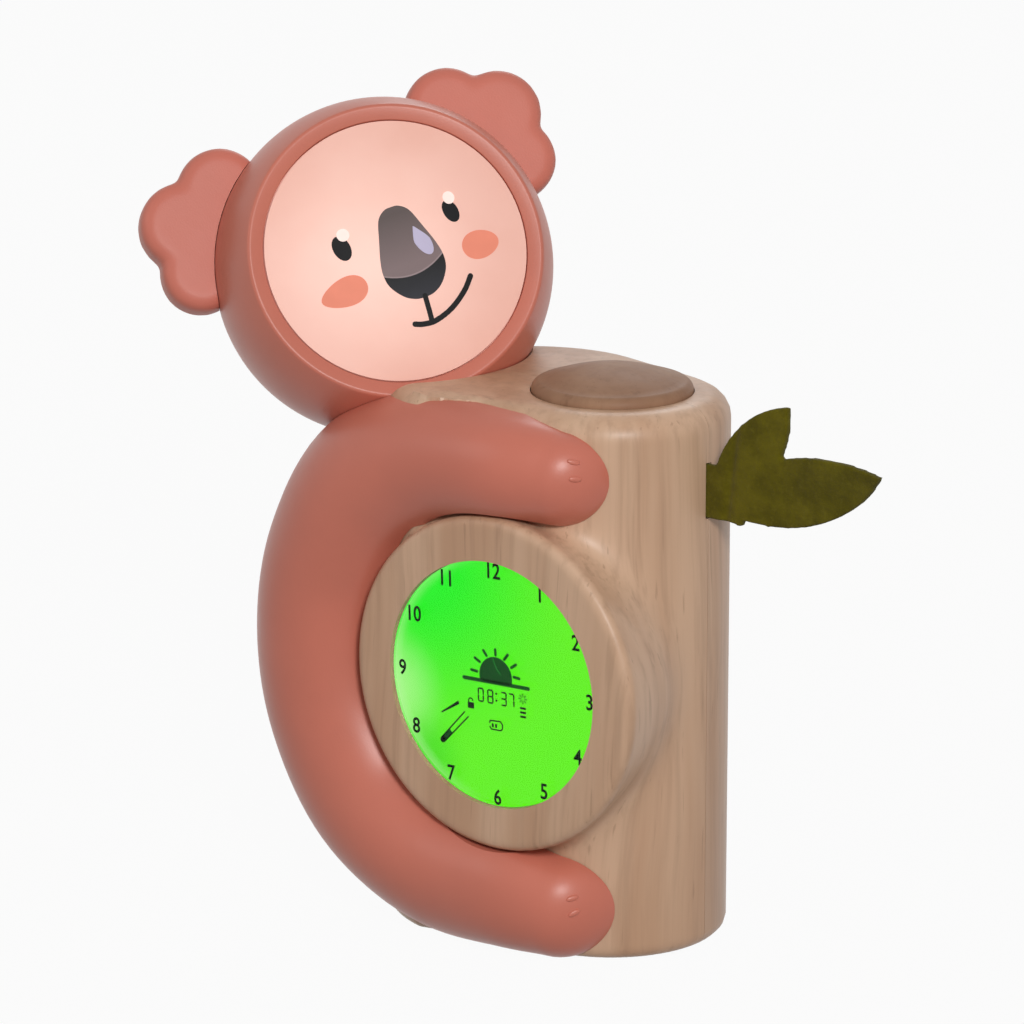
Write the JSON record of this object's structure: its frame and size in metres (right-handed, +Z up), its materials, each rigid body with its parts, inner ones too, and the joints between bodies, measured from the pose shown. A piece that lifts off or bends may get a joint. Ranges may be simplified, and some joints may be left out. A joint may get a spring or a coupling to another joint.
{
  "type": "kids alarm clock with night light",
  "caption": "Bedside alarm clock and night light: a koala hugs a tree trunk with a round backlit dial, a translucent lit face, a domed top button and a felt leaf.",
  "frame": {"origin": "on the table, under the top button's axis", "axes": "+Z up, the dial faces -Y, the leaf points to +X and the koala is on the -X side"},
  "size_m": [0.1768, 0.0805, 0.1779],
  "materials": {
    "coral_shell": "satin",
    "coral_ear": "satin",
    "wood_shell": "satin, printed wood grain",
    "wood_button": "satin, printed wood grain",
    "felt": "felt",
    "clear": "clear acrylic, gloss",
    "display": "backlit display",
    "diffuser": "translucent, satin",
    "guide": "clear acrylic",
    "white_plastic": "moulded",
    "dark_plastic": "moulded",
    "coral_key": "satin",
    "cream_key": "satin",
    "grey_key": "satin",
    "steel": "zinc plated",
    "board": "circuit board",
    "lamp": "lamp",
    "connector_strip": "conductive silicone strip",
    "rubber": "matt",
    "cell_wrap": "shrink wrap",
    "cable": "insulation",
    "cone_paper": "matt"
  },
  "bodies": {
    "clock": {"trunk_front_shell": "wood_shell", "trunk_rear_shell": "wood_shell", "shell_screws": "steel", "base_plate": "wood_shell", "base_screws": "steel", "rubber_foot": "rubber", "button_spring": "steel", "button_bracket": "white_plastic", "bracket_screws": "steel", "button_switch": "dark_plastic", "leaf": "felt", "leaf_clip": "white_plastic", "dial_lens": "clear", "lcd_glass": "display", "light_guide": "guide", "lcd_frame": "white_plastic", "lcd_frame_screws": "steel", "contact_strips": "connector_strip", "main_board": "board", "board_screws": "steel", "board_chips": "dark_plastic", "board_connectors": "white_plastic", "backlight_leds": "lamp", "battery_cell": "cell_wrap", "battery_cradle": "dark_plastic", "cradle_screws": "steel", "battery_lead": "cable", "key_board": "board", "key_board_screws": "steel", "key_switches": "dark_plastic", "key_ribbon": "cable", "usb_socket": "steel", "slide_switch_body": "dark_plastic", "speaker_basket": "steel", "speaker_cone": "cone_paper", "speaker_magnet": "steel", "speaker_gasket": "rubber", "speaker_screws": "steel", "speaker_lead": "cable", "body_front_shell": "coral_shell", "body_rear_shell": "coral_shell", "body_screws": "steel", "body_trunk_screws": "steel", "head_front_shell": "coral_shell", "head_rear_shell": "coral_shell", "head_screws": "steel", "neck_screws": "steel", "ear_left": "coral_ear", "ear_right": "coral_ear", "face_cover": "diffuser", "face_reflector": "white_plastic", "face_board": "board", "face_leds": "lamp", "head_cable": "cable"},
    "top_button": {"top_button": "wood_button"},
    "sound_key": {"sound_key": "coral_key"},
    "light_key": {"light_key": "cream_key"},
    "minus_key": {"minus_key": "grey_key"},
    "plus_key": {"plus_key": "grey_key"},
    "slide_knob": {"slide_switch_knob": "coral_key"}
  },
  "joints": [
    {"name": "top_button_press", "type": "slide", "parent": "clock", "child": "top_button", "axis": [0, 0, -1], "range_m": [0, 0.0018], "stiffness_N_per_m": 400, "springref_m": -0.002, "deforming": ["button_spring"]},
    {"name": "sound_key_press", "type": "slide", "parent": "clock", "child": "sound_key", "axis": [0, -1, 0], "range_m": [0, 0.0007], "stiffness_N_per_m": 600, "springref_m": -0.001},
    {"name": "light_key_press", "type": "slide", "parent": "clock", "child": "light_key", "axis": [0, -1, 0], "range_m": [0, 0.0007], "stiffness_N_per_m": 600, "springref_m": -0.001},
    {"name": "minus_key_press", "type": "slide", "parent": "clock", "child": "minus_key", "axis": [0, -1, 0], "range_m": [0, 0.0007], "stiffness_N_per_m": 600, "springref_m": -0.001},
    {"name": "plus_key_press", "type": "slide", "parent": "clock", "child": "plus_key", "axis": [0, -1, 0], "range_m": [0, 0.0007], "stiffness_N_per_m": 600, "springref_m": -0.001},
    {"name": "slide_knob_slide", "type": "slide", "parent": "clock", "child": "slide_knob", "axis": [1, 0, 0], "range_m": [0, 0.003]}
  ]
}
